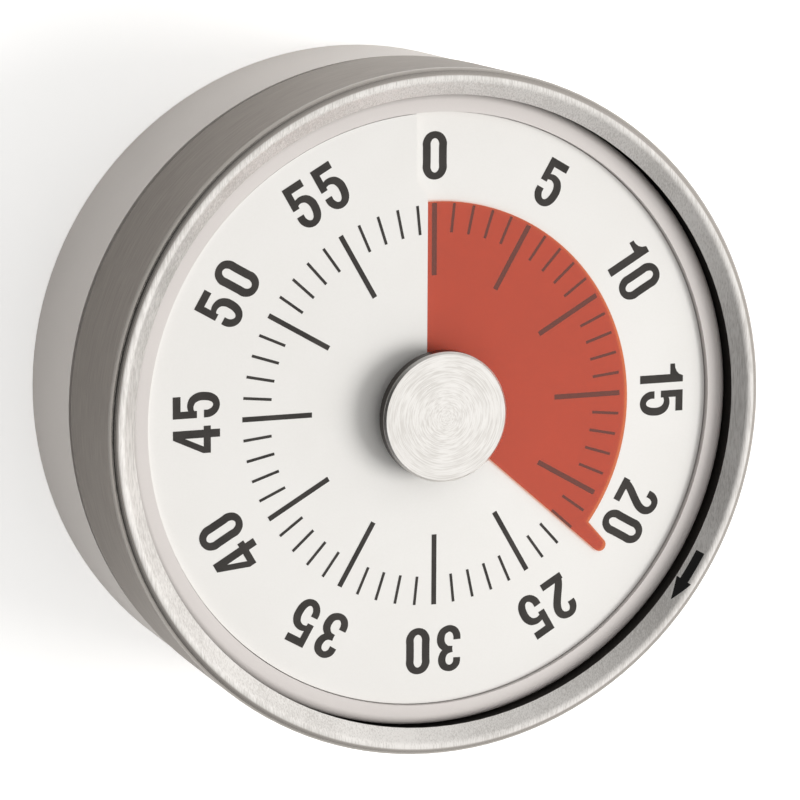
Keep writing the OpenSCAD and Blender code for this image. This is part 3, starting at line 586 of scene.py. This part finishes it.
def makeFloor():
    s = floorStyle
    half, low = s["size"] / 2, -s["drop"]
    mesh = bpy.data.meshes.new("floor")
    mesh.from_pydata([(-half, -half, low), (half, -half, low), (half, half, low), (-half, half, low)], [],
                     [(0, 1, 2, 3)])
    floor = bpy.data.objects.new("floor", mesh)
    bpy.context.scene.collection.objects.link(floor)
    material, f = newFinish("floorPaper")
    colour = f.blend(f.grain(s["cloud"]), s["shade"], s["colour"])
    # painted light: the floor glows, lighter to the camera (glowSeen) and shedding light onto the timer
    # (glowSpread)
    seen = f.node("ShaderNodeLightPath", output="Is Camera Ray")
    spread = f.node("ShaderNodeLightPath", output="Is Diffuse Ray")
    f.show(f.node("ShaderNodeBsdfPrincipled", {}, {
        "Base Color": colour, "Roughness": s["roughness"], "Specular IOR Level": s["gloss"],
        "Emission Color": colour, "Emission Strength": seen * s["glowSeen"] + spread * s["glowSpread"]}))
    mesh.materials.append(material)


# Soft light: a sky that fades from bright on the right to dark on the left, and one large soft lamp
studio = {
    "towardLight": (0.849, -0.102, 0.518), "middle": 0.40, "swing": 0.68, "darkest": 0.03,
    "skyColour": (1.0, 0.99, 0.975), "seenColour": (1.0, 1.0, 1.0), "seen": 0.93,
    "lampPlace": (0.32, -0.06, 0.36), "lampSize": 0.26, "lampPower": 1.3, "lampColour": (1.0, 0.985, 0.965),
}


def makeLight():
    s = studio
    world = bpy.data.worlds.new("studio")
    bpy.context.scene.world = world
    f = Finish(world)
    ray = f.node("ShaderNodeTexCoord", output="Generated")
    facing = f.node("ShaderNodeVectorMath", {"operation": "DOT_PRODUCT"},
                    {0: ray, 1: s["towardLight"]}, output=1)
    level = f.node("ShaderNodeMath", {"operation": "MAXIMUM"},
                   {0: facing * s["swing"] + s["middle"], 1: s["darkest"]})
    soft = f.node("ShaderNodeBackground", {}, {"Color": s["skyColour"], "Strength": level})
    pale = f.node("ShaderNodeBackground", {}, {"Color": s["seenColour"], "Strength": s["seen"]})
    seen = f.node("ShaderNodeLightPath", output="Is Camera Ray")
    f.show(f.node("ShaderNodeMixShader", {}, {0: seen, 1: soft, 2: pale}), "ShaderNodeOutputWorld")
    data = bpy.data.lights.new("softLamp", "AREA")
    data.shape, data.size, data.energy, data.color = "DISK", s["lampSize"], s["lampPower"], s["lampColour"]
    lamp = bpy.data.objects.new("softLamp", data)
    lamp.location = s["lampPlace"]
    lamp.visible_glossy = False
    lamp.rotation_mode = "QUATERNION"
    lamp.rotation_quaternion = Vector(s["lampPlace"]).to_track_quat("Z", "Y")
    bpy.context.scene.collection.objects.link(lamp)
    bpy.context.scene.view_settings.view_transform = "Standard"


# A long lens, above the dial and to its upper left
cameraStyle = {
    "place": (-0.1501, 0.0773, 0.3999), "forward": (0.3600, -0.1867, -0.9141),
    "up": (0.0646, 0.9824, -0.1753), "lens": 162.9, "sensor": 36, "nearest": 0.01, "farthest": 20,
}


def makeCamera():
    s = cameraStyle
    data = bpy.data.cameras.new("camera")
    data.lens, data.sensor_width = s["lens"], s["sensor"]
    data.clip_start, data.clip_end = s["nearest"], s["farthest"]
    camera = bpy.data.objects.new("camera", data)
    back = -Vector(s["forward"]).normalized()
    right = Vector(s["up"]).cross(back).normalized()
    turned = Matrix((right, back.cross(right), back)).transposed()
    camera.matrix_world = Matrix.Translation(s["place"]) @ turned.to_4x4()
    bpy.context.scene.collection.objects.link(camera)
    bpy.context.scene.camera = camera


makeFloor()
makeLight()
makeCamera()
print("floor, light and camera placed")
